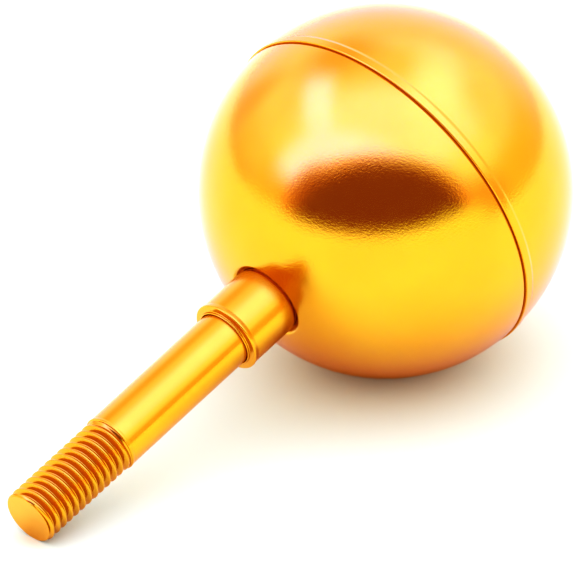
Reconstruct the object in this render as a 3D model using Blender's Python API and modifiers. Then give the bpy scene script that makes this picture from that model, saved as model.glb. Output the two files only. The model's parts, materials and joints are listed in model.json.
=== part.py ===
"""Builds a flagpole finial lying on its side: a hollow ball of two lapped half shells, with a
collar and a threaded spindle.

Each piece is drawn upright about the spindle's axis, with the ball's centre at the origin and the
stem pointing down. A parent empty then lays the finial on the floor, where it rests on a small
flat spot under the ball and on the end of its thread. All sizes are in metres.
"""

import math

import bmesh
import bpy

CLEARANCE = 0.0003

# Ball of two pressed half shells
BALL_RADIUS = 0.0400
SHELL_WALL = 0.0010
FLAT_SPOT_DIAMETER = 0.0100

# Lapped seam, a little on the stem's side of the ball's widest circle
SEAM_OFFSET = 0.0015
LIP_WIDTH = 0.0017
LIP_PROUD = 0.0003
LIP_EDGE_ROUNDING = 0.0002
JOGGLE_LENGTH = 0.0004
SHOULDER_GAP = 0.00035
SHOULDER_ROUNDING = 0.0006

# Rolled edge of the hole that takes the collar's neck
RIM_GAP = 0.00055
RIM_PROUD = 0.00015
RIM_BEAD_WIDTH = 0.0005
COUNTERSINK_DEPTH = 0.00055

# Collar
COLLAR_LENGTH = 0.0127
COLLAR_WALL = 0.0012
COLLAR_TOP_ROUNDING = 0.0005
NECK_WALL = 0.00055
NECK_LENGTH = 0.0012
FLARE = 0.0002
FLARE_LENGTH = 0.0016
FLARE_ROUNDING = 0.0004
RING_WIDTH = 0.0004
RING_HEIGHT = 0.00025

# Spindle
ROD_DIAMETER = 0.0127
SHANK_LENGTH = 0.0369
ROD_LIP_PROUD = 0.00012
ROD_LIP_LENGTH = 0.0009
TENON_RADIUS = 0.0040
HEAD_RADIUS = 0.0060
HEAD_TOP_RADIUS = 0.0049
HEAD_HEIGHT = 0.0026
HEAD_ROUNDING = 0.0006

# Thread with thirteen turns to the inch
THREAD_DIAMETER = 0.0124
THREAD_PITCH = 0.0254 / 13
THREAD_LENGTH = 0.0254
THREAD_DEPTH = 0.0011
THREAD_RUN_OUT = 0.0016
THREAD_START_ANGLE = math.radians(94)
CREST_WIDTH = 0.00036
ROOT_WIDTH = 0.00030
ROOT_ROUNDING = 0.00008
TIP_FACE_DIAMETER = 0.0112
TIP_CHAMFER_LENGTH = 0.0013

# Number of facets
TURNED_STEPS = 40
THREAD_STEPS = 24
SPHERE_ARC_STEPS = 10
INNER_ARC_STEPS = 5
ROUNDING_STEPS = 3

GOLD = (0.93, 0.56, 0.09, 1.0)

# Sizes that follow from the ones above
rod_radius = ROD_DIAMETER / 2
crest_radius = THREAD_DIAMETER / 2
tip_face_radius = TIP_FACE_DIAMETER / 2
bore_radius = rod_radius + CLEARANCE
neck_radius = bore_radius + NECK_WALL
collar_radius = bore_radius + COLLAR_WALL
flare_radius = collar_radius + FLARE
hole_radius = neck_radius + CLEARANCE
rim_radius = collar_radius + RIM_GAP
lip_radius = BALL_RADIUS + LIP_PROUD
inner_radius = BALL_RADIUS - SHELL_WALL
lip_inner_radius = lip_radius - SHELL_WALL
tuck_radius = lip_inner_radius - CLEARANCE


def sphere_height(radius, distance):
    """Height of a sphere's surface above its middle plane, at a distance from its axis."""
    return math.sqrt(radius ** 2 - distance ** 2)


# Heights along the spindle's axis, from the ball's centre
seam_height = -SEAM_OFFSET
joggle_height = seam_height + LIP_WIDTH
collar_top = -sphere_height(BALL_RADIUS, collar_radius)
collar_face = collar_top - COLLAR_LENGTH
neck_top = collar_top + NECK_LENGTH
thread_top = collar_face - SHANK_LENGTH
tip_height = thread_top - THREAD_LENGTH
rod_shoulder = sphere_height(inner_radius, rod_radius) - CLEARANCE
tenon_hole_radius = TENON_RADIUS + CLEARANCE
head_top = BALL_RADIUS + HEAD_HEIGHT

# How the finial lies: the ball's flat spot and the thread's lowest crest are both on the floor
ball_height = sphere_height(BALL_RADIUS, FLAT_SPOT_DIAMETER / 2)


def tilt_that_touches(distance, radius):
    """Slope of the stem at which its edge, so far along and so thick, meets the floor."""
    reach = math.hypot(distance, radius)
    return math.asin(ball_height / reach) - math.atan2(radius, distance)


stem_tilt = min(tilt_that_touches(-tip_height - TIP_CHAMFER_LENGTH, crest_radius),
                tilt_that_touches(-tip_height, tip_face_radius))
tip_reach = -tip_height * math.cos(stem_tilt) + tip_face_radius * math.sin(stem_tilt)
head_reach = head_top * math.cos(stem_tilt) + HEAD_TOP_RADIUS * math.sin(stem_tilt)
ball_centre_x = (tip_reach - head_reach) / 2


def clear_scene():
    """Removes whatever the scene holds."""
    for scene_object in list(bpy.data.objects):
        bpy.data.objects.remove(scene_object, do_unlink=True)


def new_collection(name):
    """Adds a collection to the scene."""
    collection = bpy.data.collections.new(name)
    bpy.context.scene.collection.children.link(collection)
    return collection


def metal(name, roughness):
    """Gold-coloured satin metal."""
    material = bpy.data.materials.new(name)
    material.use_nodes = True
    shader = material.node_tree.nodes["Principled BSDF"]
    shader.inputs["Base Color"].default_value = GOLD
    shader.inputs["Metallic"].default_value = 1.0
    shader.inputs["Roughness"].default_value = roughness
    return material


def arc(centre, radius, start, end, steps):
    """Points of an arc in the profile's plane, with angles in degrees from the outward direction."""
    points = []
    for step in range(steps + 1):
        angle = math.radians(start + (end - start) * step / steps)
        points.append((centre[0] + radius * math.cos(angle), centre[1] + radius * math.sin(angle)))
    return points


def latitude(radius, height):
    """Angle in degrees, up from the ball's middle plane, of a height on a sphere."""
    return math.degrees(math.asin(height / radius))


def profile_object(name, points, closed, collection):
    """A profile in the XZ plane, as an object of joined edges."""
    mesh = bpy.data.meshes.new(name)
    edges = [(index, index + 1) for index in range(len(points) - 1)]
    if closed:
        edges.append((len(points) - 1, 0))
    mesh.from_pydata([(distance, 0.0, height) for distance, height in points], edges, [])
    turned = bpy.data.objects.new(name, mesh)
    collection.objects.link(turned)
    return turned


def turned_piece(name, points, material, collection, parent):
    """A ring-shaped piece, turned about the spindle's axis from its closed profile."""
    turned = profile_object(name, points, True, collection)
    screw = turned.modifiers.new("turn", "SCREW")
    screw.steps = TURNED_STEPS
    screw.render_steps = TURNED_STEPS
    screw.merge_threshold = 0.00001
    screw.use_merge_vertices = True
    screw.use_smooth_shade = True
    turned.data.materials.append(material)
    turned.parent = parent
    return turned


def upper_shell_profile():
    """The half away from the stem: a sphere whose rim steps out into a lip."""
    hole_angle = latitude(BALL_RADIUS, sphere_height(BALL_RADIUS, tenon_hole_radius))
    inner_hole_angle = latitude(inner_radius, sphere_height(inner_radius, tenon_hole_radius))
    joggle_top = joggle_height + JOGGLE_LENGTH
    points = arc((0, 0), BALL_RADIUS, hole_angle, latitude(BALL_RADIUS, joggle_top), SPHERE_ARC_STEPS)
    points.append((lip_radius, joggle_height))
    points += arc((lip_radius - LIP_EDGE_ROUNDING, seam_height + LIP_EDGE_ROUNDING), LIP_EDGE_ROUNDING,
                  0, -90, ROUNDING_STEPS)
    points.append((lip_inner_radius, seam_height))
    points.append((lip_inner_radius, joggle_height))
    points += arc((0, 0), inner_radius, latitude(inner_radius, joggle_top), inner_hole_angle,
                  INNER_ARC_STEPS)
    return points


def lower_shell_profile():
    """The stem's half: a tucked rim, a rounded shoulder, the sphere and the rolled hole."""
    shoulder_top = seam_height - SHOULDER_GAP
    shoulder_side = shoulder_top - SHOULDER_ROUNDING
    shoulder_radius = sphere_height(BALL_RADIUS, shoulder_side)
    tuck_inner_radius = tuck_radius - SHELL_WALL
    tuck_top = joggle_height - CLEARANCE
    bead_start = -sphere_height(BALL_RADIUS, rim_radius + RIM_BEAD_WIDTH)
    bead_top = -sphere_height(BALL_RADIUS, rim_radius + RIM_BEAD_WIDTH / 2) - RIM_PROUD
    rim_height = -sphere_height(BALL_RADIUS, rim_radius)
    inner_start = -sphere_height(inner_radius, rim_radius + RIM_BEAD_WIDTH)
    inner_end = shoulder_side - SHELL_WALL / 2

    points = [(tuck_radius, tuck_top), (tuck_radius, shoulder_top)]
    points += arc((shoulder_radius - SHOULDER_ROUNDING, shoulder_side), SHOULDER_ROUNDING,
                  90, 0, ROUNDING_STEPS)
    points += arc((0, 0), BALL_RADIUS, latitude(BALL_RADIUS, shoulder_side),
                  latitude(BALL_RADIUS, bead_start), SPHERE_ARC_STEPS)[1:]
    points.append((rim_radius + RIM_BEAD_WIDTH / 2, bead_top))
    points.append((rim_radius, rim_height - RIM_PROUD / 2))
    points.append((hole_radius, rim_height + COUNTERSINK_DEPTH))
    points.append((hole_radius, rim_height + COUNTERSINK_DEPTH + SHELL_WALL))
    points += arc((0, 0), inner_radius, latitude(inner_radius, inner_start),
                  latitude(inner_radius, inner_end), INNER_ARC_STEPS)
    points.append((tuck_inner_radius, shoulder_side))
    points.append((tuck_inner_radius, tuck_top))
    return points


def collar_profile():
    """A sleeve: neck in the ball's hole, rounded top, flared foot and a raised ring at the rod."""
    ring_radius = bore_radius + RING_WIDTH
    ring_face = collar_face - RING_HEIGHT
    ring_bevel = RING_HEIGHT / 2
    points = [(neck_radius, neck_top), (neck_radius, collar_top)]
    points += arc((collar_radius - COLLAR_TOP_ROUNDING, collar_top - COLLAR_TOP_ROUNDING),
                  COLLAR_TOP_ROUNDING, 90, 0, ROUNDING_STEPS)
    points.append((collar_radius, collar_face + FLARE_LENGTH))
    points += arc((flare_radius - FLARE_ROUNDING, collar_face + FLARE_ROUNDING), FLARE_ROUNDING,
                  0, -90, ROUNDING_STEPS)
    points.append((ring_radius, collar_face))
    points.append((ring_radius - ring_bevel, ring_face))
    points.append((bore_radius + ring_bevel, ring_face))
    points.append((bore_radius, collar_face))
    points.append((bore_radius, neck_top))
    return points


def thread_profile():
    """One pitch of the thread, from a crest's upper edge down to the next one's."""
    flank = (THREAD_PITCH - CREST_WIDTH - ROOT_WIDTH) / 2
    root_radius = crest_radius - THREAD_DEPTH
    start = tip_height - 2 * THREAD_PITCH
    return [(crest_radius, start + THREAD_PITCH),
            (root_radius + ROOT_ROUNDING, start + THREAD_PITCH - flank),
            (root_radius, start + THREAD_PITCH - flank - ROOT_WIDTH / 2),
            (root_radius + ROOT_ROUNDING, start + THREAD_PITCH - flank - ROOT_WIDTH),
            (crest_radius, start + CREST_WIDTH),
            (crest_radius, start)]


def helix_mesh(collection):
    """The thread's endless helix, a few turns longer than the thread, as an editable mesh."""
    strand = profile_object("thread_strand", thread_profile(), False, collection)
    strand.rotation_euler.z = THREAD_START_ANGLE
    screw = strand.modifiers.new("wind", "SCREW")
    screw.steps = THREAD_STEPS
    screw.render_steps = THREAD_STEPS
    screw.screw_offset = THREAD_PITCH
    screw.iterations = math.ceil(THREAD_LENGTH / THREAD_PITCH) + 4
    screw.merge_threshold = 0.00001
    screw.use_merge_vertices = True
    bpy.context.view_layer.update()
    evaluated = strand.evaluated_get(bpy.context.evaluated_depsgraph_get())
    helix = bmesh.new()
    helix.from_mesh(evaluated.to_mesh())
    helix.transform(strand.matrix_world)
    evaluated.to_mesh_clear()
    bpy.data.objects.remove(strand, do_unlink=True)
    bmesh.ops.remove_doubles(helix, verts=helix.verts, dist=0.00001)
    return helix


def trimmed_thread_radius(radius, height):
    """The thread's radius where the groove fades at both ends and the chamfer cuts the tip."""
    from_tip = max(height - tip_height, 0.0)
    from_top = max(thread_top - height, 0.0)
    fade_in = min(from_tip / TIP_CHAMFER_LENGTH, 1.0)
    fade_out = min(from_top / THREAD_RUN_OUT, 1.0)
    faded = crest_radius - (crest_radius - radius) * fade_in * fade_out
    chamfer = tip_face_radius + (crest_radius - tip_face_radius) * from_tip / TIP_CHAMFER_LENGTH
    return min(faded, chamfer)


def spindle_stations():
    """Radius and height of each ring of the spindle above the thread, up to the head's top."""
    lip = rod_radius + ROD_LIP_PROUD
    underside = sphere_height(BALL_RADIUS, tenon_hole_radius) + CLEARANCE
    head_edge = sphere_height(BALL_RADIUS, HEAD_RADIUS) + CLEARANCE
    stations = [(lip, thread_top + ROD_LIP_PROUD),
                (lip, thread_top + ROD_LIP_LENGTH / 2),
                (rod_radius, thread_top + ROD_LIP_LENGTH),
                (rod_radius, collar_face),
                (rod_radius, rod_shoulder),
                (TENON_RADIUS, rod_shoulder),
                (TENON_RADIUS, underside),
                (HEAD_RADIUS, head_edge)]
    stations += arc((HEAD_TOP_RADIUS - HEAD_ROUNDING, head_top - HEAD_ROUNDING), HEAD_ROUNDING,
                    0, 90, ROUNDING_STEPS)
    return stations


def edges_at(mesh, height):
    """The open edges that lie on a level."""
    return [edge for edge in mesh.edges if edge.is_boundary
            and all(abs(vertex.co.z - height) < 0.000005 for vertex in edge.verts)]


def add_spindle(material, collection, parent):
    """The turned bar, from its threaded tip through the ball to the head on the far pole."""
    bar = helix_mesh(collection)
    for vertex in bar.verts:
        distance = math.hypot(vertex.co.x, vertex.co.y)
        factor = trimmed_thread_radius(distance, vertex.co.z) / distance
        vertex.co.x *= factor
        vertex.co.y *= factor
    for height, direction in ((tip_height, -1), (thread_top, 1)):
        bmesh.ops.bisect_plane(bar, geom=bar.verts[:] + bar.edges[:] + bar.faces[:], dist=0.000001,
                               plane_co=(0, 0, height), plane_no=(0, 0, direction), clear_outer=True)
    bmesh.ops.holes_fill(bar, edges=edges_at(bar, tip_height), sides=0)
    ring = edges_at(bar, thread_top)
    for radius, height in spindle_stations():
        grown = bmesh.ops.extrude_edge_only(bar, edges=ring)["geom"]
        ring = [part for part in grown if isinstance(part, bmesh.types.BMEdge)]
        for vertex in {corner for edge in ring for corner in edge.verts}:
            factor = radius / math.hypot(vertex.co.x, vertex.co.y)
            vertex.co.x *= factor
            vertex.co.y *= factor
            vertex.co.z = height
    bmesh.ops.holes_fill(bar, edges=ring, sides=0)
    bmesh.ops.recalc_face_normals(bar, faces=bar.faces)
    mesh = bpy.data.meshes.new("threaded_spindle")
    bar.to_mesh(mesh)
    bar.free()
    mesh.shade_smooth()
    mesh.set_sharp_from_angle(angle=math.radians(25))
    mesh.materials.append(material)
    spindle = bpy.data.objects.new("threaded_spindle", mesh)
    collection.objects.link(spindle)
    spindle.parent = parent
    return spindle


def cut_flat_spot(shell, cutters):
    """Flattens the ball where it lies on the floor."""
    depth = BALL_RADIUS
    bpy.ops.mesh.primitive_cube_add(size=1, location=(ball_centre_x, 0, -depth / 2))
    floor_block = bpy.context.object
    floor_block.name = "flat_spot_cutter"
    floor_block.scale = (2 * BALL_RADIUS, 2 * BALL_RADIUS, depth)
    bpy.ops.object.transform_apply(location=False, rotation=False, scale=True)
    floor_block.hide_render = True
    floor_block.display_type = "WIRE"
    for collection in list(floor_block.users_collection):
        collection.objects.unlink(floor_block)
    cutters.objects.link(floor_block)
    cut = shell.modifiers.new("flat_spot", "BOOLEAN")
    cut.operation = "DIFFERENCE"
    cut.solver = "EXACT"
    cut.object = floor_block


def build_finial():
    """Makes the pieces and lays them on the floor."""
    clear_scene()
    finial = new_collection("flagpole_finial")
    cutters = new_collection("cutters")
    lay_down = bpy.data.objects.new("lay_down", None)
    lay_down.location = (ball_centre_x, 0, ball_height)
    lay_down.rotation_euler.y = math.pi / 2 - stem_tilt
    finial.objects.link(lay_down)

    turned_piece("upper_half_shell", upper_shell_profile(), metal("upper_shell_gold", 0.25),
                 finial, lay_down)
    lower_shell = turned_piece("lower_half_shell", lower_shell_profile(),
                               metal("lower_shell_gold", 0.25), finial, lay_down)
    cut_flat_spot(lower_shell, cutters)
    turned_piece("collar", collar_profile(), metal("collar_gold", 0.2), finial, lay_down)
    add_spindle(metal("spindle_gold", 0.2), finial, lay_down)


build_finial()
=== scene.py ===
"""Dresses a flagpole finial that lies on its side.

The finial is a hollow ball of gold-anodised aluminium, made of two pressed half shells, with a
collar and a threaded spindle. Each piece is made again from its outline, with fine facets and
small roundings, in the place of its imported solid, and gets its finish. A bright tent with a dark
opening around the camera lights it. Sizes are in metres and angles in degrees, unless a name or
a docstring says otherwise.
"""

import json
import logging
import math
from dataclasses import dataclass, field
from enum import Enum
from typing import Any

import bmesh
import bpy
from mathutils import Matrix, Vector


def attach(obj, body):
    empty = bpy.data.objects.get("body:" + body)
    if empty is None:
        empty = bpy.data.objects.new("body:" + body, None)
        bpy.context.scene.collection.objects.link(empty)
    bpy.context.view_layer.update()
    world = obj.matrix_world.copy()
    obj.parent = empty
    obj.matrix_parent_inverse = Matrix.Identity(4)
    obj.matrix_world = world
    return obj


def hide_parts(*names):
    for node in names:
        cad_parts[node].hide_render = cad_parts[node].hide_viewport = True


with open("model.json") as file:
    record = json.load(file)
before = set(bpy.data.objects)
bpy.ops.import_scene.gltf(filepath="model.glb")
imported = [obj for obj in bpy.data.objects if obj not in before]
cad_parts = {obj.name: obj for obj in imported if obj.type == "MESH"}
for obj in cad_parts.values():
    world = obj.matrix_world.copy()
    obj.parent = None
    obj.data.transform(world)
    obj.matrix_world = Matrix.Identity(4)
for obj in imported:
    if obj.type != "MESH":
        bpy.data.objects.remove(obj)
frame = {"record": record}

MM = 0.001
BODY = "root"

QUARTER_TURN = 90.0
FULL_TURN_RADIANS = 2 * math.pi
SHARP_ANGLE = 32.0
WELD = 0.0001 * MM

# A corner that is nearer than this to straight, in radians, gets no arc.
NEARLY_STRAIGHT = 0.01
# An arc starts at most this share of the way to the next corner.
LONGEST_SETBACK = 0.48

# Sockets of a Mix node that mixes colours.
MIX_SHARE = 0
MIX_FIRST = 6
MIX_SECOND = 7
MIX_RESULT = 2

Colour = tuple[float, float, float]
Range = tuple[float, float]
Socket = bpy.types.NodeSocket

log = logging.getLogger("finial")


class Slot(Enum):
    """The record's material slots."""

    SHELL = "gold_shell"
    TURNED = "gold_turned"


class CardShape(Enum):
    """Outline of a lit or dark card in the tent, as the power of its rounded outline."""

    OVAL = 2.0
    BOX = 5.0


def sphere_height(radius: float, distance: float) -> float:
    """Height of a sphere's surface above its middle plane.

    Args:
        radius: The sphere's radius.
        distance: Distance from its axis.

    Returns:
        The height, above zero.
    """
    return math.sqrt(radius ** 2 - distance ** 2)


def rounded_corner(before: Vector, corner: Vector, after: Vector, rounding: float,
                   steps: int) -> list[Vector]:
    """Points of the small arc that takes the place of a corner.

    Args:
        before: The point that the outline comes from.
        corner: The corner itself.
        after: The point that the outline goes on to.
        rounding: Radius of the arc, made smaller where the neighbours are near.
        steps: Number of stretches of the arc.

    Returns:
        The arc's points, in the outline's order.
    """
    back = before - corner
    onward = after - corner
    half_angle = back.angle(onward) / 2
    if rounding <= 0 or math.pi / 2 - half_angle < NEARLY_STRAIGHT:
        return [corner]
    setback = min(rounding / math.tan(half_angle), LONGEST_SETBACK * back.length,
                  LONGEST_SETBACK * onward.length)
    radius = setback * math.tan(half_angle)
    bisector = (back.normalized() + onward.normalized()).normalized()
    centre = corner + bisector * (radius / math.sin(half_angle))
    start = corner + back.normalized() * setback - centre
    end = corner + onward.normalized() * setback - centre
    first = math.atan2(start.y, start.x)
    sweep = math.remainder(math.atan2(end.y, end.x) - first, FULL_TURN_RADIANS)
    angles = [first + sweep * step / steps for step in range(steps + 1)]
    return [centre + radius * Vector((math.cos(angle), math.sin(angle))) for angle in angles]


@dataclass
class Outline:
    """Half section of a turned piece, as points at a distance from the axis and at a height."""

    corner_steps: int = 4
    stations: list[tuple[Vector, float]] = field(default_factory=list)

    def corner(self, distance: float, height: float, rounding: float = 0.0) -> None:
        """Adds a corner.

        Args:
            distance: Distance from the axis.
            height: Height along the axis.
            rounding: Radius of the corner's arc, or 0 for a sharp one.
        """
        self.stations.append((Vector((distance, height)), rounding))

    def sphere(self, radius: float, first: float, last: float, steps: int) -> None:
        """Adds a stretch of a sphere about the origin.

        Args:
            radius: The sphere's radius.
            first: Height at which the stretch starts.
            last: Height at which it ends.
            steps: Number of its stretches.
        """
        start = math.asin(first / radius)
        end = math.asin(last / radius)
        for step in range(steps + 1):
            angle = start + (end - start) * step / steps
            self.corner(radius * math.cos(angle), radius * math.sin(angle))

    def points(self, closed: bool = True) -> list[Vector]:
        """The outline with its corners rounded.

        Args:
            closed: Whether the last point joins the first.

        Returns:
            The points in order.
        """
        made: list[Vector] = []
        count = len(self.stations)
        for index, (place, rounding) in enumerate(self.stations):
            if not closed and index in (0, count - 1):
                made.append(place)
                continue
            before = self.stations[index - 1][0]
            after = self.stations[(index + 1) % count][0]
            made += rounded_corner(before, place, after, rounding, self.corner_steps)
        return made


@dataclass(frozen=True)
class Ball:
    """Sizes of the ball, whose centre is the upright frame's origin."""

    radius: float = 40.0 * MM
    wall: float = 1.0 * MM
    clearance: float = 0.3 * MM
    seam_offset: float = 1.5 * MM
    lip_width: float = 1.7 * MM
    lip_proud: float = 0.3 * MM
    tenon_radius: float = 4.0 * MM
    seat_radius: float = 9.1 * MM
    seat_depth: float = 1.2 * MM
    seat_curve: float = 1.5
    hole_radius: float = 7.76 * MM

    def seat_reach(self, radius: float, distance: float) -> float:
        """Reach of a sphere towards the stem, where the seat round the hole flattens it.

        Args:
            radius: The sphere's radius.
            distance: Distance from its axis.

        Returns:
            The distance from its middle plane.
        """
        share = max(self.seat_radius - distance, 0.0) / (self.seat_radius - self.hole_radius)
        return sphere_height(radius, distance) - self.seat_depth * share ** self.seat_curve

    @property
    def inner_radius(self) -> float:
        """Radius of the hollow."""
        return self.radius - self.wall

    @property
    def lip_radius(self) -> float:
        """Outer radius of the lip that laps over the lower half."""
        return self.radius + self.lip_proud

    @property
    def lip_inner_radius(self) -> float:
        """Inner radius of the lip."""
        return self.lip_radius - self.wall

    @property
    def seam_height(self) -> float:
        """Height of the lip's edge along the spindle's axis."""
        return -self.seam_offset

    @property
    def joggle_height(self) -> float:
        """Height at which the lip steps back to the sphere."""
        return self.seam_height + self.lip_width

    @property
    def tenon_hole_radius(self) -> float:
        """Radius of the hole at the far pole."""
        return self.tenon_radius + self.clearance


@dataclass(frozen=True)
class Rod:
    """Sizes along the axis that the collar and the spindle share.

    A height starts at the ball's centre, and is below zero on the stem's side.
    """

    collar_foot: float = -51.92 * MM
    shank_length: float = 36.9 * MM
    thread_length: float = 25.4 * MM

    @property
    def thread_top(self) -> float:
        """Height at which the thread ends."""
        return self.collar_foot - self.shank_length

    @property
    def tip(self) -> float:
        """Height of the end face."""
        return self.thread_top - self.thread_length


@dataclass(frozen=True)
class Lie:
    """Where the finial lies: a piece is drawn upright about its axis and then laid down."""

    ball_centre: Vector
    towards_tip: Vector

    @classmethod
    def from_record(cls, record: dict[str, Any], rod: Rod) -> "Lie":
        """Finds the place from the mount at the spindle's end.

        Args:
            record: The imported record.
            rod: The sizes along the spindle.

        Returns:
            The place.
        """
        mount = next(mount for mount in record["mounts"] if mount["name"] == "spindle_end")
        axis = Vector(mount["axis"]).normalized()
        return cls(Vector(mount["pos_m"]) + axis * rod.tip, axis)

    @property
    def lean(self) -> float:
        """Turn about the Y axis, in radians, from upright to lying."""
        return math.atan2(-self.towards_tip.x, -self.towards_tip.z)

    @property
    def matrix(self) -> Matrix:
        """Takes an upright piece to where it lies."""
        return Matrix.Translation(self.ball_centre) @ Matrix.Rotation(self.lean, 4, "Y")


class NodeSheet:
    """A small helper that adds and joins the nodes of a material or of the world."""

    def __init__(self, tree: bpy.types.NodeTree) -> None:
        """Starts on a node tree.

        Args:
            tree: The tree to add nodes to.
        """
        self.tree = tree

    def add(self, kind: str, settings: dict[str, Any] | None = None,
            values: dict[Any, Any] | None = None) -> bpy.types.Node:
        """Adds a node.

        Args:
            kind: The node's type name.
            settings: Its properties.
            values: Its inputs by name or number, each a plain value or another node's output.

        Returns:
            The node.
        """
        node = self.tree.nodes.new(kind)
        for name, setting in (settings or {}).items():
            setattr(node, name, setting)
        for key, value in (values or {}).items():
            if isinstance(value, Socket):
                self.tree.links.new(value, node.inputs[key])
            else:
                node.inputs[key].default_value = value
        return node

    def compute(self, operation: str, *values: Any, clamp: bool = False) -> Socket:
        """Adds a Math node and gives its output.

        Args:
            operation: The Math node's operation.
            values: Its inputs in order.
            clamp: Whether the result stays between 0 and 1.

        Returns:
            The result's socket.
        """
        node = self.add("ShaderNodeMath", {"operation": operation, "use_clamp": clamp},
                        dict(enumerate(values)))
        return node.outputs[0]

    def spread(self, value: Any, given: Range, wanted: Range = (0.0, 1.0)) -> Socket:
        """Takes one range of a value to another, with soft ends.

        Args:
            value: The value's socket.
            given: Start and end of the range that comes in.
            wanted: Start and end of the range that goes out.

        Returns:
            The result's socket.
        """
        node = self.add("ShaderNodeMapRange", {"interpolation_type": "SMOOTHSTEP"},
                        {"Value": value, "From Min": given[0], "From Max": given[1],
                         "To Min": wanted[0], "To Max": wanted[1]})
        return node.outputs["Result"]

    def mix(self, share: Any, first: Any, second: Any) -> Socket:
        """Mixes two colours, each a plain one or a socket.

        Args:
            share: Share of the second colour.
            first: The first colour.
            second: The second colour.

        Returns:
            The mixed colour's socket.
        """
        values: dict[Any, Any] = {MIX_SHARE: share}
        for key, colour in ((MIX_FIRST, first), (MIX_SECOND, second)):
            values[key] = colour if isinstance(colour, Socket) else (*colour, 1.0)
        return self.add("ShaderNodeMix", {"data_type": "RGBA"}, values).outputs[MIX_RESULT]

    def noise(self, place: Any, size: float, detail: float = 2.0, crispness: float = 0.5) -> Socket:
        """Adds a noise and gives its value.

        Args:
            place: Where on the piece, as a vector socket.
            size: Size of its patches.
            detail: Number of finer layers on top.
            crispness: Strength of the finer layers.

        Returns:
            The noise's value, about 0.5.
        """
        node = self.add("ShaderNodeTexNoise", {"noise_dimensions": "3D"},
                        {"Vector": place, "Scale": 1.0 / size, "Detail": detail,
                         "Roughness": crispness})
        return node.outputs["Fac"]

    def bump(self, height: Socket, distance: float, below: Socket | None = None) -> Socket:
        """Turns a height into a normal.

        Args:
            height: The height's socket, from 0 to 1.
            distance: How high 1 is.
            below: The normal that it lies on, where there is one.

        Returns:
            The normal's socket.
        """
        values: dict[Any, Any] = {"Strength": 1.0, "Distance": distance, "Height": height}
        if below is not None:
            values["Normal"] = below
        return self.add("ShaderNodeBump", {}, values).outputs["Normal"]


@dataclass(frozen=True)
class AnodisedFinish:
    """Gold-anodised aluminium: a tinted metal under a thin clear oxide layer."""

    name: str
    gold: Colour = (0.88, 0.61, 0.026)
    deep_gold: Colour = (0.87, 0.58, 0.023)
    roughness: float = 0.12
    roughness_spread: float = 0.02
    coat: float = 0.55
    coat_roughness: float = 0.14
    coat_ior: float = 1.6
    patch_size: float = 14.0 * MM
    patch_detail: float = 3.0
    patch_range: Range = (0.35, 0.65)
    gloss_patches_in_patch: float = 5.0
    gloss_detail: float = 4.0
    gloss_range: Range = (0.3, 0.7)
    grain_size: float = 0.46 * MM
    grain_height: float = 0.032 * MM
    grain_detail: float = 3.0
    grain_crispness: float = 0.65

    def upright_place(self, sheet: NodeSheet, lie: Lie) -> Socket:
        """A point of the piece in the upright frame, with the axis along Z.

        Args:
            sheet: The material's nodes.
            lie: Where the finial lies.

        Returns:
            The place's socket.
        """
        here = sheet.add("ShaderNodeTexCoord").outputs["Object"]
        mapping = sheet.add("ShaderNodeMapping", {"vector_type": "TEXTURE"},
                            {"Vector": here, "Location": lie.ball_centre,
                             "Rotation": (0.0, lie.lean, 0.0)})
        return mapping.outputs["Vector"]

    def grain(self, sheet: NodeSheet, place: Socket) -> Socket:
        """Height of the satin surface's fine grain."""
        return sheet.noise(place, self.grain_size, self.grain_detail, self.grain_crispness)

    def relief(self, sheet: NodeSheet, place: Socket) -> Socket:
        """The surface's relief, as a normal: the fine grain alone."""
        return sheet.bump(self.grain(sheet, place), self.grain_height)

    def tone(self, sheet: NodeSheet, place: Socket) -> Socket:
        """The metal's colour, a little deeper in broad patches."""
        patches = sheet.noise(place, self.patch_size, self.patch_detail)
        return sheet.mix(sheet.spread(patches, self.patch_range), self.gold, self.deep_gold)

    def gloss(self, sheet: NodeSheet, place: Socket) -> Socket:
        """The metal's roughness, a little uneven in small patches.

        Args:
            sheet: The material's nodes.
            place: A point in the upright frame.

        Returns:
            The roughness's socket.
        """
        size = self.patch_size / self.gloss_patches_in_patch
        patches = sheet.noise(place, size, self.gloss_detail)
        low = self.roughness - self.roughness_spread
        high = self.roughness + self.roughness_spread
        return sheet.spread(patches, self.gloss_range, (low, high))

    def material(self, lie: Lie) -> bpy.types.Material:
        """Makes the material.

        Args:
            lie: Where the finial lies.

        Returns:
            The material.
        """
        made = bpy.data.materials.new(self.name)
        made.use_nodes = True
        sheet = NodeSheet(made.node_tree)
        shader = made.node_tree.nodes["Principled BSDF"]
        place = self.upright_place(sheet, lie)
        shader.inputs["Metallic"].default_value = 1.0
        shader.inputs["Coat Weight"].default_value = self.coat
        shader.inputs["Coat Roughness"].default_value = self.coat_roughness
        shader.inputs["Coat IOR"].default_value = self.coat_ior
        links = made.node_tree.links
        links.new(self.tone(sheet, place), shader.inputs["Base Color"])
        links.new(self.gloss(sheet, place), shader.inputs["Roughness"])
        links.new(self.relief(sheet, place), shader.inputs["Normal"])
        return made


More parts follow.
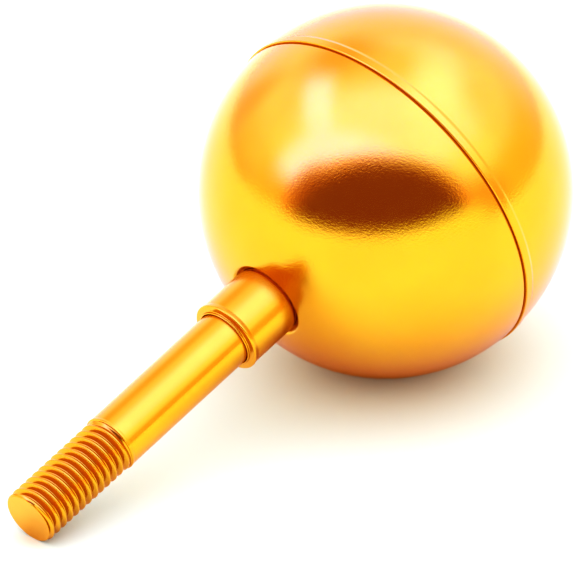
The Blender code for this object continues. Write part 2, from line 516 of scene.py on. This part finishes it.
@dataclass(frozen=True)
class TurnedFinish(AnodisedFinish):
    """The same metal with the fine marks of a lathe round its axis."""

    roughness: float = 0.2
    coat: float = 0.35
    patch_size: float = 9.0 * MM
    grain_height: float = 0.001 * MM
    grain_detail: float = 2.0
    grain_crispness: float = 0.5
    mark_width: float = 0.16 * MM
    mark_height: float = 0.0012 * MM
    mark_detail: float = 3.0
    mark_crispness: float = 0.6

    def section_place(self, sheet: NodeSheet, place: Socket) -> tuple[Socket, Socket]:
        """Where a point lies in the half section.

        Args:
            sheet: The material's nodes.
            place: A point in the upright frame.

        Returns:
            The sockets of its distance from the axis and of its height.
        """
        parts = sheet.add("ShaderNodeSeparateXYZ", {}, {"Vector": place}).outputs
        flat = sheet.add("ShaderNodeCombineXYZ", {}, {"X": parts["X"], "Y": parts["Y"]})
        distance = sheet.add("ShaderNodeVectorMath", {"operation": "LENGTH"},
                             {0: flat.outputs["Vector"]}).outputs["Value"]
        return distance, parts["Z"]

    def relief(self, sheet: NodeSheet, place: Socket) -> Socket:
        """Rings round the axis, on the sides and on the end faces, under a faint grain.

        Args:
            sheet: The material's nodes.
            place: A point in the upright frame.

        Returns:
            The normal's socket.
        """
        distance, height = self.section_place(sheet, place)
        section = sheet.add("ShaderNodeCombineXYZ", {}, {"X": distance, "Z": height})
        marks = sheet.noise(section.outputs["Vector"], self.mark_width, self.mark_detail,
                            self.mark_crispness)
        rings = sheet.bump(marks, self.mark_height)
        return sheet.bump(self.grain(sheet, place), self.grain_height, rings)


@dataclass(frozen=True)
class ThreadedFinish(TurnedFinish):
    """The turned finish, with painted shade that darkens the thread, most of all in its groove."""

    # Painted shade: the colour that darkens the thread, fully at the groove's root and partly at
    # the crests.
    groove_shade_gold: Colour = (0.78, 0.48, 0.022)
    crest_shade_share: float = 0.55
    root_radius: float = 5.1 * MM
    crest_radius: float = 6.2 * MM
    plain_end: float = 0.02 * MM
    rod: Rod = field(default_factory=Rod)

    def tone(self, sheet: NodeSheet, place: Socket) -> Socket:
        """The metal's colour, with painted shade along the thread, deepest in its groove.

        Args:
            sheet: The material's nodes.
            place: A point in the upright frame.

        Returns:
            The colour's socket.
        """
        distance, height = self.section_place(sheet, place)
        depth = sheet.spread(distance, (self.root_radius, self.crest_radius),
                             (1.0, self.crest_shade_share))
        below_shank = sheet.compute("LESS_THAN", height, self.rod.thread_top)
        above_end = sheet.compute("GREATER_THAN", height, self.rod.tip + self.plain_end)
        on_thread = sheet.compute("MULTIPLY", below_shank, above_end)
        share = sheet.compute("MULTIPLY", depth, on_thread)
        # Painted shade in the groove: the darker colour is mixed in by the groove's depth.
        return sheet.mix(share, super().tone(sheet, place), self.groove_shade_gold)


@dataclass(frozen=True)
class FloorFinish:
    """Plain matt white, very faintly mottled."""

    name: str = "white_floor"
    colour: Colour = (0.86, 0.86, 0.86)
    mottle: Colour = (0.84, 0.84, 0.845)
    mottle_size: float = 60.0 * MM
    shine: float = 0.0

    def material(self) -> bpy.types.Material:
        """Makes the material.

        Returns:
            The material.
        """
        made = bpy.data.materials.new(self.name)
        made.use_nodes = True
        sheet = NodeSheet(made.node_tree)
        shader = made.node_tree.nodes["Principled BSDF"]
        here = sheet.add("ShaderNodeTexCoord").outputs["Object"]
        tone = sheet.mix(sheet.noise(here, self.mottle_size), self.colour, self.mottle)
        made.node_tree.links.new(tone, shader.inputs["Base Color"])
        shader.inputs["Specular IOR Level"].default_value = self.shine
        return made


@dataclass
class TurnedPiece:
    """A piece that is turned about the spindle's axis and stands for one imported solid."""

    lie: Lie
    finish: AnodisedFinish
    name: str = ""
    node: str = ""
    slot: Slot = Slot.TURNED
    turn_steps: int = 192
    ball: Ball = field(default_factory=Ball)

    def outline(self) -> Outline:
        """The piece's half section."""
        raise NotImplementedError

    def shape(self) -> bmesh.types.BMesh:
        """Turns the outline about the axis.

        Returns:
            The closed upright shape.
        """
        shape = bmesh.new()
        ring = [shape.verts.new((point.x, 0.0, point.y)) for point in self.outline().points()]
        edges = [shape.edges.new((ring[index - 1], ring[index])) for index in range(len(ring))]
        bmesh.ops.spin(shape, geom=ring + edges, cent=(0, 0, 0), axis=(0, 0, 1), dvec=(0, 0, 0),
                       angle=FULL_TURN_RADIANS, steps=self.turn_steps, use_merge=True)
        bmesh.ops.remove_doubles(shape, verts=shape.verts, dist=WELD)
        bmesh.ops.recalc_face_normals(shape, faces=shape.faces)
        return shape

    def finish_shape(self, shape: bmesh.types.BMesh) -> None:
        """Changes the shape once it lies in its place. A plain piece needs nothing.

        Args:
            shape: The piece, laid down.
        """

    def build(self) -> bpy.types.Object:
        """Makes the piece in its place.

        Returns:
            The piece's object.
        """
        shape = self.shape()
        shape.transform(self.lie.matrix)
        self.finish_shape(shape)
        mesh = bpy.data.meshes.new(self.name)
        shape.to_mesh(mesh)
        shape.free()
        mesh.shade_smooth()
        mesh.set_sharp_from_angle(angle=math.radians(SHARP_ANGLE))
        piece = bpy.data.objects.new(self.name, mesh)
        bpy.context.scene.collection.objects.link(piece)
        even = piece.modifiers.new("even_shading", "WEIGHTED_NORMAL")
        even.keep_sharp = True
        return piece

    def dress(self, piece: bpy.types.Object) -> None:
        """Gives the piece its finish and says what it stands for.

        Args:
            piece: The piece's object.
        """
        piece.data.materials.append(self.finish.material(self.lie))
        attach(piece, BODY)
        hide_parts(self.node)


@dataclass
class UpperHalfShell(TurnedPiece):
    """The pressed half away from the stem, whose rim steps out into a lip."""

    name: str = "upper_half"
    node: str = "upper_half_shell"
    slot: Slot = Slot.SHELL
    turn_steps: int = 288
    sphere_steps: int = 90
    hollow_steps: int = 24
    joggle_length: float = 0.7 * MM
    joggle_rounding: float = 0.6 * MM
    lip_edge_rounding: float = 0.25 * MM
    lip_inner_rounding: float = 0.25 * MM / 3

    def outline(self) -> Outline:
        """Sphere, joggle and lip, and the hollow inside.

        Returns:
            The half section.
        """
        ball = self.ball
        hole = ball.tenon_hole_radius
        joggle_top = ball.joggle_height + self.joggle_length
        outline = Outline()
        outline.sphere(ball.radius, sphere_height(ball.radius, hole),
                       joggle_top + self.joggle_length, self.sphere_steps)
        outline.corner(sphere_height(ball.radius, joggle_top), joggle_top, self.joggle_rounding)
        outline.corner(ball.lip_radius, ball.joggle_height, self.joggle_rounding)
        outline.corner(ball.lip_radius, ball.seam_height, self.lip_edge_rounding)
        outline.corner(ball.lip_inner_radius, ball.seam_height, self.lip_inner_rounding)
        outline.corner(ball.lip_inner_radius, ball.joggle_height)
        outline.sphere(ball.inner_radius, joggle_top, sphere_height(ball.inner_radius, hole),
                       self.hollow_steps)
        return outline


@dataclass
class LowerHalfShell(TurnedPiece):
    """The pressed half on the stem's side: a tucked rim, the sphere and a rolled hole."""

    name: str = "lower_half"
    node: str = "lower_half_shell"
    slot: Slot = Slot.SHELL
    turn_steps: int = 288
    sphere_steps: int = 80
    hollow_steps: int = 20
    seat_steps: int = 40
    rim_radius: float = 7.92 * MM
    rim_proud: float = 0.1 * MM
    rim_bead_width: float = 0.4 * MM
    countersink_depth: float = 0.12 * MM
    tuck_clearance: float = 0.08 * MM
    shoulder_gap: float = 0.03 * MM
    shoulder_length: float = 0.6 * MM
    shoulder_drop: float = 0.25 * MM
    shoulder_rounding: float = 0.5 * MM
    shoulder_edge_rounding: float = 0.125 * MM

    def outline(self) -> Outline:
        """Tucked rim, shoulder, sphere, seat and rolled hole, and the hollow inside.

        Returns:
            The half section.
        """
        ball = self.ball
        tuck = ball.lip_inner_radius - self.tuck_clearance
        tuck_top = ball.joggle_height - ball.clearance
        shoulder_top = ball.seam_height - self.shoulder_gap
        slope_start = shoulder_top - self.shoulder_length
        sphere_top = slope_start - self.shoulder_length
        shoulder = sphere_height(ball.radius, shoulder_top) - self.shoulder_drop
        bead = self.rim_radius + self.rim_bead_width
        rim = -ball.seat_reach(ball.radius, self.rim_radius)
        hole_edge = rim + self.countersink_depth
        seat = [ball.seat_radius + (bead - ball.seat_radius) * (step / self.seat_steps)
                for step in range(1, self.seat_steps + 1)]
        outline = Outline()
        outline.corner(tuck, tuck_top)
        outline.corner(tuck, shoulder_top)
        outline.corner(shoulder, shoulder_top, self.shoulder_edge_rounding)
        outline.corner(sphere_height(ball.radius, slope_start), slope_start,
                       self.shoulder_rounding)
        outline.sphere(ball.radius, sphere_top, -sphere_height(ball.radius, ball.seat_radius),
                       self.sphere_steps)
        for distance in seat:
            outline.corner(distance, -ball.seat_reach(ball.radius, distance))
        outline.corner(self.rim_radius + self.rim_bead_width / 2, rim - self.rim_proud,
                       self.rim_bead_width)
        outline.corner(self.rim_radius, rim, self.rim_bead_width)
        outline.corner(ball.hole_radius, hole_edge, self.rim_bead_width)
        outline.corner(ball.hole_radius, hole_edge + ball.wall)
        for distance in reversed(seat):
            outline.corner(distance, -ball.seat_reach(ball.inner_radius, distance))
        outline.sphere(ball.inner_radius, -sphere_height(ball.inner_radius, ball.seat_radius),
                       sphere_top - ball.wall / 2, self.hollow_steps)
        outline.corner(tuck - ball.wall, sphere_top)
        outline.corner(tuck - ball.wall, tuck_top)
        return outline

    def finish_shape(self, shape: bmesh.types.BMesh) -> None:
        """Cuts the small flat spot on which the ball rests.

        Args:
            shape: The half shell, laid down.
        """
        everything = shape.verts[:] + shape.edges[:] + shape.faces[:]
        cut = bmesh.ops.bisect_plane(shape, geom=everything, dist=WELD, plane_co=(0, 0, 0),
                                     plane_no=(0, 0, -1), clear_outer=True)
        edges = [part for part in cut["geom_cut"] if isinstance(part, bmesh.types.BMEdge)]
        bmesh.ops.holes_fill(shape, edges=edges, sides=0)
        bmesh.ops.recalc_face_normals(shape, faces=shape.faces)


@dataclass
class Collar(TurnedPiece):
    """The turned sleeve against the ball."""

    name: str = "collar_sleeve"
    node: str = "collar"
    rod: Rod = field(default_factory=Rod)
    bore_radius: float = 6.42 * MM
    neck_radius: float = 7.74 * MM
    neck_rounding: float = 0.1 * MM
    groove_width: float = 0.75 * MM
    radius: float = 8.0 * MM
    top_rounding: float = 0.2 * MM
    flare: float = 0.2 * MM
    flare_length: float = 1.4 * MM
    foot_rounding: float = 0.35 * MM
    ring_width: float = 0.36 * MM
    ring_height: float = 0.6 * MM
    ring_rounding: float = 0.16 * MM

    def outline(self) -> Outline:
        """Neck, groove, side, flared foot and the raised ring round the rod.

        Returns:
            The half section.
        """
        foot = self.rod.collar_foot
        foot_radius = self.radius + self.flare
        ring = self.bore_radius + self.ring_width
        seat = -self.ball.seat_reach(self.ball.radius, self.radius)
        neck_top = seat + self.ball.wall
        top = seat - self.groove_width
        outline = Outline()
        outline.corner(self.neck_radius, neck_top)
        outline.corner(self.neck_radius, top, self.neck_rounding)
        outline.corner(self.radius, top, self.top_rounding)
        outline.corner(self.radius, foot + self.flare_length, self.flare_length)
        outline.corner(foot_radius, foot + self.flare_length / 3, self.foot_rounding)
        outline.corner(foot_radius, foot, self.foot_rounding)
        outline.corner(ring, foot, self.ring_rounding)
        outline.corner(ring, foot - self.ring_height, self.ring_rounding)
        outline.corner(self.bore_radius, foot - self.ring_height, self.ring_rounding)
        outline.corner(self.bore_radius, neck_top)
        return outline


@dataclass
class Spindle(TurnedPiece):
    """The turned bar: threaded end, smooth shank, hidden stretch and flat-topped head."""

    name: str = "spindle_bar"
    node: str = "threaded_spindle"
    turn_steps: int = 128
    rod: Rod = field(default_factory=Rod)
    radius: float = 6.35 * MM
    shank_lip: float = 0.12 * MM
    shank_lip_length: float = 0.9 * MM
    head_radius: float = 6.0 * MM
    head_top_radius: float = 4.9 * MM
    head_height: float = 2.6 * MM
    head_rounding: float = 0.6 * MM
    head_edge_rounding: float = 0.2 * MM
    thread_radius: float = 6.2 * MM
    thread_depth: float = 1.1 * MM
    pitch: float = 25.4 * MM / 13
    start_angle: float = 94.0
    spare_turns: int = 3
    run_out: float = 1.6 * MM
    crest_width: float = 0.36 * MM
    root_width: float = 0.30 * MM
    crest_rounding: float = 0.14 * MM
    root_rounding: float = 0.22 * MM
    tip_radius: float = 5.6 * MM
    tip_rounding_length: float = 0.9 * MM
    tip_rounding_steps: int = 7
    tip_fade: float = 0.2 * MM
    turn_weld: float = 0.002 * MM
    cut_tolerance: float = 0.001 * MM
    level_tolerance: float = 0.005 * MM

    def thread_outline(self) -> Outline:
        """One pitch of the thread, from a crest's middle down to the next crest's middle.

        Returns:
            The open outline.
        """
        top = self.rod.tip - self.pitch
        bottom = top - self.pitch
        root = self.thread_radius - self.thread_depth
        flank = (self.pitch - self.crest_width - self.root_width) / 2
        root_top = top - self.crest_width / 2 - flank
        outline = Outline()
        outline.corner(self.thread_radius, top)
        outline.corner(self.thread_radius, top - self.crest_width / 2, self.crest_rounding)
        outline.corner(root, root_top, self.root_rounding)
        outline.corner(root, root_top - self.root_width, self.root_rounding)
        outline.corner(self.thread_radius, bottom + self.crest_width / 2, self.crest_rounding)
        outline.corner(self.thread_radius, bottom)
        return outline

    def outline(self) -> Outline:
        """The bar above the thread, from the thread's last ring to the head's flat top.

        Returns:
            The open outline.
        """
        ball = self.ball
        thread_top = self.rod.thread_top
        lip = self.radius + self.shank_lip
        shoulder = sphere_height(ball.inner_radius, self.radius) - ball.clearance
        underside = sphere_height(ball.radius, ball.tenon_hole_radius) + ball.clearance
        head_edge = sphere_height(ball.radius, self.head_radius) + ball.clearance
        head_top = ball.radius + self.head_height
        outline = Outline()
        outline.corner(self.thread_radius, thread_top)
        outline.corner(lip, thread_top + self.shank_lip, self.shank_lip)
        outline.corner(lip, thread_top + self.shank_lip_length / 2, self.shank_lip_length)
        outline.corner(self.radius, thread_top + self.shank_lip_length, self.shank_lip_length)
        outline.corner(self.radius, self.rod.collar_foot)
        outline.corner(self.radius, shoulder)
        outline.corner(ball.tenon_radius, shoulder)
        outline.corner(ball.tenon_radius, underside)
        outline.corner(self.head_radius, head_edge, self.head_edge_rounding)
        outline.corner(self.head_top_radius, head_top, self.head_rounding)
        outline.corner(self.head_top_radius / 2, head_top)
        return outline

    def trimmed_radius(self, distance: float, height: float) -> float:
        """Radius of a thread's point where the groove fades or the tip's rounding cuts it.

        Args:
            distance: The point's own distance from the axis.
            height: Its height along the axis.

        Returns:
            The distance that it gets.
        """
        from_tip = max(height - self.rod.tip, 0.0)
        from_top = max(self.rod.thread_top - height, 0.0)
        fade = min(from_tip / self.tip_fade, 1.0) * min(from_top / self.run_out, 1.0)
        groove = self.thread_radius - (self.thread_radius - distance) * fade
        rise = min(from_tip / self.tip_rounding_length, 1.0)
        quarter_oval = math.sqrt(rise * (2 - rise))
        rounded = self.tip_radius + (self.thread_radius - self.tip_radius) * quarter_oval
        return min(groove, rounded)

    def wound_strand(self) -> bmesh.types.BMesh:
        """Winds one pitch of the thread round the axis, turn by turn.

        Returns:
            The thread, longer than the finished one and open at both ends.
        """
        thread = bmesh.new()
        start = Matrix.Rotation(math.radians(self.start_angle), 4, "Z")
        strand = [thread.verts.new(start @ Vector((point.x, 0.0, point.y)))
                  for point in self.thread_outline().points(closed=False)]
        edges = [thread.edges.new(pair) for pair in zip(strand, strand[1:])]
        bmesh.ops.spin(thread, geom=strand + edges, cent=(0, 0, 0), axis=(0, 0, 1),
                       dvec=(0, 0, self.pitch / self.turn_steps), angle=FULL_TURN_RADIANS,
                       steps=self.turn_steps)
        one_turn = thread.verts[:] + thread.edges[:] + thread.faces[:]
        turns = math.ceil(self.rod.thread_length / self.pitch) + self.spare_turns
        for turn in range(1, turns + 1):
            copied = bmesh.ops.duplicate(thread, geom=one_turn)["geom"]
            moved = [part for part in copied if isinstance(part, bmesh.types.BMVert)]
            bmesh.ops.translate(thread, verts=moved, vec=(0, 0, self.pitch * turn))
        bmesh.ops.remove_doubles(thread, verts=thread.verts, dist=self.turn_weld)
        return thread

    def trim(self, thread: bmesh.types.BMesh) -> None:
        """Rounds the thread's end, lets its groove fade at both ends and cuts it to length.

        Args:
            thread: The wound thread.
        """
        for step in range(1, self.tip_rounding_steps + 1):
            share = (step / self.tip_rounding_steps) ** 2
            level = self.rod.tip + self.tip_rounding_length * share
            near = [face for face in thread.faces
                    if abs(face.verts[0].co.z - level) < self.pitch]
            parts = {part for face in near for part in (face, *face.edges, *face.verts)}
            bmesh.ops.bisect_plane(thread, geom=list(parts), dist=self.cut_tolerance,
                                   plane_co=(0, 0, level), plane_no=(0, 0, 1))
        for vertex in thread.verts:
            distance = math.hypot(vertex.co.x, vertex.co.y)
            factor = self.trimmed_radius(distance, vertex.co.z) / distance
            vertex.co.xy = vertex.co.xy * factor
        for height, direction in ((self.rod.tip, -1), (self.rod.thread_top, 1)):
            everything = thread.verts[:] + thread.edges[:] + thread.faces[:]
            bmesh.ops.bisect_plane(thread, geom=everything, dist=self.cut_tolerance,
                                   plane_co=(0, 0, height), plane_no=(0, 0, direction),
                                   clear_outer=True)

    def open_ring(self, shape: bmesh.types.BMesh, height: float) -> list[bmesh.types.BMEdge]:
        """The open edges on a level.

        Args:
            shape: The shape to look in.
            height: The level.

        Returns:
            The edges.
        """
        return [edge for edge in shape.edges if edge.is_boundary
                and all(abs(vertex.co.z - height) < self.level_tolerance
                        for vertex in edge.verts)]

    def shape(self) -> bmesh.types.BMesh:
        """Grows the bar from the thread, ring by ring, and closes its ends.

        Returns:
            The closed upright shape.
        """
        bar = self.wound_strand()
        self.trim(bar)
        bmesh.ops.holes_fill(bar, edges=self.open_ring(bar, self.rod.tip), sides=0)
        ring = self.open_ring(bar, self.rod.thread_top)
        for point in self.outline().points(closed=False)[1:]:
            grown = bmesh.ops.extrude_edge_only(bar, edges=ring)["geom"]
            ring = [part for part in grown if isinstance(part, bmesh.types.BMEdge)]
            for vertex in {corner for edge in ring for corner in edge.verts}:
                vertex.co.xy = vertex.co.xy.normalized() * point.x
                vertex.co.z = point.y
        bmesh.ops.holes_fill(bar, edges=ring, sides=0)
        bmesh.ops.recalc_face_normals(bar, faces=bar.faces)
        return bar


@dataclass(frozen=True)
class Card:
    """A soft-edged patch of the tent, lit or dark, as the finial mirrors it.

    Its azimuth and elevation are those of its middle, seen from the finial. The camera is at
    azimuth 0. The softness is a share of the card's half width and half height.
    """

    azimuth: float
    elevation: float
    half_width: float
    half_height: float
    colour: Colour
    softness: float
    roll: float = 0.0
    shape: CardShape = CardShape.OVAL


@dataclass
class Studio:
    """Floor, camera and tent. The camera stands as the photograph's did."""

    lie: Lie
    azimuth: float = -46.90
    elevation: float = 29.02
    distance: float = 2.0
    ball_from_middle: tuple[float, float] = (20.78 * MM, 20.74 * MM)
    lens_mm: float = 588.5
    sensor_mm: float = 36.0
    near_clip: float = 0.05
    far_clip: float = 50.0
    floor_side: float = 12.0
    floor_squares: int = 24
    floor_finish: FloorFinish = field(default_factory=FloorFinish)
    # Colours of the tent by their height, from -1 straight down to 1 straight up.
    sky: tuple[tuple[float, Colour], ...] = (
        (-1.0, (0.80, 0.80, 0.80)),
        (0.0, (0.80, 0.46, 0.45)),
        (0.16, (0.80, 0.57, 0.60)),
        (0.25, (0.80, 0.60, 0.70)),
        (0.5, (0.82, 0.78, 1.50)),
        (0.72, (0.82, 0.86, 3.10)),
        (1.0, (0.82, 0.86, 3.50)),
    )
    cards: tuple[Card, ...] = (
        # Walls and lamps behind the finial and at its sides.
        Card(180, 20, 45, 30, (0.80, 0.64, 1.2), 0.5),
        Card(-178, 66, 62, 17, (0.80, 0.64, 1.2), 0.7),
        Card(88, 64, 36, 13, (0.90, 0.94, 3.6), 0.6),
        Card(-100, 54, 30, 8, (0.95, 0.95, 6.0), 0.5),
        Card(-150, 49, 15, 14, (0.80, 0.46, 0.5), 0.7),
        Card(-132, 5, 8, 20, (0.80, 0.46, 0.5), 0.8),
        Card(98, 9, 26, 11, (0.80, 0.53, 0.4), 0.7),
        # The bright wall above the opening, and the warm corner at its left.
        Card(-28, 24, 47, 35.5, (0.95, 0.93, 6.4), 0.22),
        Card(-70, 8, 16, 9, (0.85, 0.50, 0.4), 0.8),
        # The opening around the camera: its warm rim, its right and left ends and its dark.
        Card(-6, 7.2, 60, 42.2, (0.84, 0.40, 0.4), 0.10, roll=4),
        Card(64, 7, 14, 12, (0.80, 0.40, 0.35), 0.6),
        Card(-49, 5, 15.5, 27, (0.46, 0.17, 0.18), 0.35, roll=4),
        Card(-3.5, 7.0, 53, 39.4, (0.23, 0.082, 0.12), 0.10, roll=4),
        # The low bright wall that covers the opening's lower part.
        Card(-20, -9, 70, 10, (0.80, 0.78, 0.80), 0.15, roll=3, shape=CardShape.BOX),
        Card(34, -5, 30, 12, (0.80, 0.78, 0.80), 0.25, roll=14),
    )
    backdrop: Colour = (1.0, 1.0, 1.0)
    floor_light: Colour = (1.03, 1.06, 1.14)
    low_floor_light: Colour = (0.60, 1.00, 0.82)
    floor_light_rise: Range = (0.0, 0.9)
    mirrored_floor_light: Colour = (1.15, 1.46, 2.05)
    mirrored_low_light: Colour = (0.96, 0.29, 0.00)
    mirrored_light_rise: Range = (0.36, 1.0)
    inner_share: float = 0.85
    inner_warmth: Colour = (0.58, 0.26, 0.05)

    def back(self) -> Vector:
        """Direction from the finial to the camera.

        Returns:
            The direction, of length 1.
        """
        turn = math.radians(self.azimuth)
        rise = math.radians(self.elevation)
        return Vector((math.sin(turn) * math.cos(rise), -math.cos(turn) * math.cos(rise),
                       math.sin(rise)))

    def add_camera(self) -> None:
        """Makes the camera and chooses it for the scene."""
        back = self.back()
        turn = math.radians(self.azimuth)
        right = Vector((math.cos(turn), math.sin(turn), 0.0))
        up = back.cross(right)
        aside, above = self.ball_from_middle
        aim = self.lie.ball_centre - right * aside - up * above
        lens = bpy.data.cameras.new("camera")
        lens.lens = self.lens_mm
        lens.sensor_width = self.sensor_mm
        lens.clip_start = self.near_clip
        lens.clip_end = self.far_clip
        camera = bpy.data.objects.new("camera", lens)
        camera.location = aim + back * self.distance
        camera.rotation_mode = "QUATERNION"
        camera.rotation_quaternion = (-back).to_track_quat("-Z", "Y")
        bpy.context.scene.collection.objects.link(camera)
        bpy.context.scene.camera = camera

    def add_floor(self) -> None:
        """Makes the plain pale floor."""
        shape = bmesh.new()
        bmesh.ops.create_grid(shape, x_segments=self.floor_squares,
                              y_segments=self.floor_squares, size=self.floor_side / 2)
        mesh = bpy.data.meshes.new("floor")
        shape.to_mesh(mesh)
        shape.free()
        floor = bpy.data.objects.new("floor", mesh)
        bpy.context.scene.collection.objects.link(floor)
        floor.data.materials.append(self.floor_finish.material())

    def card_mask(self, sheet: NodeSheet, look: Socket, card: Card) -> Socket:
        """Where a card is, from 0 outside to 1 inside.

        Args:
            sheet: The world's nodes.
            look: The direction that is looked in.
            card: The card.

        Returns:
            The mask's socket.
        """
        away = math.radians(self.azimuth - QUARTER_TURN + card.azimuth)
        turned = sheet.add("ShaderNodeMapping", {"vector_type": "TEXTURE"},
                           {"Vector": look, "Rotation": (math.radians(card.roll),
                                                         -math.radians(card.elevation), away)})
        parts = sheet.add("ShaderNodeSeparateXYZ", {}, {"Vector": turned.outputs["Vector"]}).outputs
        aside = sheet.compute("ARCTAN2", parts["Y"], parts["X"])
        above = sheet.compute("ARCSINE", parts["Z"])
        power = card.shape.value
        total: Any = 0.0
        for angle, half in ((aside, card.half_width), (above, card.half_height)):
            share = sheet.compute("ABSOLUTE", sheet.compute("DIVIDE", angle, math.radians(half)))
            total = sheet.compute("ADD", total, sheet.compute("POWER", share, power))
        reach = sheet.compute("POWER", total, 1.0 / power)
        return sheet.spread(reach, (1.0 - card.softness, 1.0 + card.softness), (1.0, 0.0))

    def mirrored_tent(self, sheet: NodeSheet, look: Socket, rise: Socket) -> Socket:
        """What the metal mirrors: the sky with the cards in front of it.

        Args:
            sheet: The world's nodes.
            look: The direction that is looked in.
            rise: Its height, from -1 to 1.

        Returns:
            The colour's socket.
        """
        colour: Any = self.sky[0][1]
        for (low, _), (high, next_colour) in zip(self.sky, self.sky[1:]):
            colour = sheet.mix(sheet.spread(rise, (low, high)), colour, next_colour)
        for card in self.cards:
            colour = sheet.mix(self.card_mask(sheet, look, card), colour, card.colour)
        return colour

    def light_on_floor(self, sheet: NodeSheet, rise: Socket, past_metal: Socket) -> Socket:
        """What lights the floor, from the tent itself or by way of the metal.

        Args:
            sheet: The world's nodes.
            rise: Height of the direction that is looked in, from -1 to 1.
            past_metal: 1 where the light comes by way of the metal, 0 elsewhere.

        Returns:
            The colour's socket.
        """
        straight = sheet.mix(sheet.spread(rise, self.floor_light_rise), self.low_floor_light,
                             self.floor_light)
        mirrored = sheet.mix(sheet.spread(rise, self.mirrored_light_rise),
                             self.mirrored_low_light, self.mirrored_floor_light)
        return sheet.mix(past_metal, straight, mirrored)

    def add_tent(self) -> None:
        """Lights the scene: sky and cards for the metal's mirror, plain light for the floor."""
        world = bpy.data.worlds.new("tent")
        world.use_nodes = True
        bpy.context.scene.world = world
        sheet = NodeSheet(world.node_tree)
        background = world.node_tree.nodes["Background"]
        look = sheet.add("ShaderNodeTexCoord").outputs["Generated"]
        rise = sheet.add("ShaderNodeSeparateXYZ", {}, {"Vector": look}).outputs["Z"]
        path = sheet.add("ShaderNodeLightPath").outputs
        mirrors = path["Glossy Depth"]
        past_metal = sheet.compute("MINIMUM", mirrors, 1.0)
        past_floor = sheet.compute("MINIMUM", path["Diffuse Depth"], 1.0)
        # From the second mirror on, as in a groove, the metal's own warm tone is seen.
        within = sheet.compute("MULTIPLY_ADD", mirrors, self.inner_share, -self.inner_share,
                               clamp=True)
        mirrored = sheet.mix(within, self.mirrored_tent(sheet, look, rise), self.inner_warmth)
        shown = sheet.mix(path["Is Camera Ray"], mirrored, self.backdrop)
        from_above = sheet.mix(within, self.light_on_floor(sheet, rise, past_metal),
                               self.inner_warmth)
        lit = sheet.mix(past_floor, shown, from_above)
        world.node_tree.links.new(lit, background.inputs["Color"])
        world.cycles.sampling_method = "NONE"

    def set_tones(self) -> None:
        """Chooses the plain tone curve with strong contrast that the photograph has."""
        view = bpy.context.scene.view_settings
        view.view_transform = "Standard"
        view.look = "Very High Contrast"


def main() -> None:
    """Builds and dresses every piece, and then the studio round it."""
    logging.basicConfig(level=logging.INFO, format="%(name)s: %(message)s")
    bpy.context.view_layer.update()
    lie = Lie.from_record(frame["record"], Rod())
    studio = Studio(lie)
    studio.add_camera()
    satin = AnodisedFinish("satin_gold")
    turned = TurnedFinish("turned_gold")
    threaded = ThreadedFinish("threaded_gold")
    pieces = (UpperHalfShell(lie, satin), LowerHalfShell(lie, satin), Collar(lie, turned),
              Spindle(lie, threaded))
    for piece in pieces:
        made = piece.build()
        piece.dress(made)
        log.info("%s stands for %s with %d faces", made.name, piece.node,
                 len(made.data.polygons))
    studio.add_floor()
    studio.add_tent()
    studio.set_tones()


if __name__ == "__main__":
    main()
